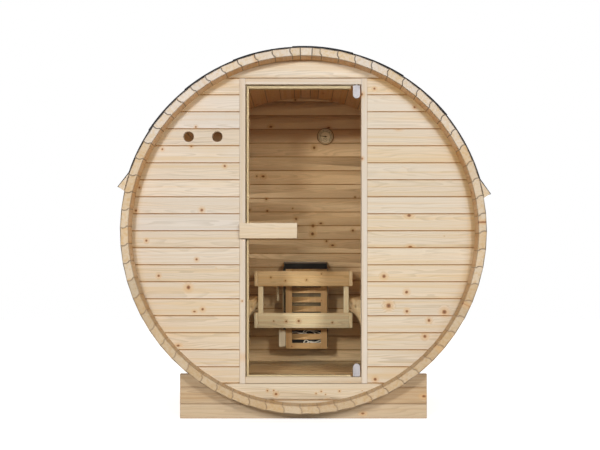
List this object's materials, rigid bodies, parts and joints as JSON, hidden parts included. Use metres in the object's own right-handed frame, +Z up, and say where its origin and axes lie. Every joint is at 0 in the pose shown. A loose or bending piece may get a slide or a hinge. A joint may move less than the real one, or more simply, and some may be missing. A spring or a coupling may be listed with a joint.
{
  "type": "barrel sauna",
  "caption": "Short barrel sauna of spruce staves on two cradles, with a framed glass door, two facing benches, a guarded heater and a shingled top.",
  "frame": {"origin": "on the ground under the middle of the barrel", "axes": "+Z up, -Y out of the front with the door, +X to the right as seen from the front"},
  "size_m": [1.9363, 1.6, 1.9535],
  "materials": {
    "stave_spruce": "planed spruce",
    "wall_spruce": "planed spruce",
    "frame_spruce": "planed spruce",
    "floor_spruce": "planed spruce",
    "fitting_spruce": "planed spruce",
    "cradle_spruce": "planed spruce",
    "gauge_wood": "turned and oiled",
    "gauge_dial": "matt",
    "tinted_glass": "bronze tint, polished",
    "hinge_metal": "satin",
    "heater_steel": "black",
    "pale_enamel": "satin",
    "roof_bitumen": "mineral grain on bitumen felt",
    "band_steel": "stainless strip"
  },
  "bodies": {
    "root": {"back_wall": "wall_spruce", "band_back": "band_steel", "band_front": "band_steel", "bench_gussets_left": "fitting_spruce", "bench_gussets_right": "fitting_spruce", "bench_seat_left": "fitting_spruce", "bench_seat_right": "fitting_spruce", "cradle_back": "cradle_spruce", "cradle_front": "cradle_spruce", "door_head": "frame_spruce", "door_jamb_left": "frame_spruce", "door_jamb_right": "frame_spruce", "door_sill": "frame_spruce", "door_stops": "frame_spruce", "eave_batten_left": "stave_spruce", "eave_batten_right": "stave_spruce", "floor_boards": "floor_spruce", "floor_joists": "floor_spruce", "front_wall_bottom": "wall_spruce", "front_wall_left": "wall_spruce", "front_wall_right": "wall_spruce", "front_wall_top": "wall_spruce", "guard_posts": "fitting_spruce", "guard_rails_lower": "fitting_spruce", "guard_rails_upper": "fitting_spruce", "heater_brackets": "heater_steel", "heater_casing": "heater_steel", "heater_screen": "fitting_spruce", "heater_terminal_box": "pale_enamel", "shingles_left": "roof_bitumen", "shingles_ridge": "roof_bitumen", "shingles_right": "roof_bitumen", "staves_bottom": "stave_spruce", "staves_left": "stave_spruce", "staves_lower_left": "stave_spruce", "staves_lower_right": "stave_spruce", "staves_right": "stave_spruce", "staves_top": "stave_spruce", "staves_upper_left": "stave_spruce", "staves_upper_right": "stave_spruce", "thermometer_case": "gauge_wood", "thermometer_dial": "gauge_dial", "vent_board": "wall_spruce"},
    "door": {"door_glass": "tinted_glass", "door_grip_inner": "frame_spruce", "door_grip_outer": "frame_spruce", "door_hinge_bottom": "hinge_metal", "door_hinge_top": "hinge_metal"}
  },
  "joints": [
    {"name": "door_hinge", "type": "hinge", "parent": "root", "child": "door", "pos_m": [0.281, -0.676, 0.999], "axis": [0, 0, 1], "range_deg": [0, 105]}
  ]
}
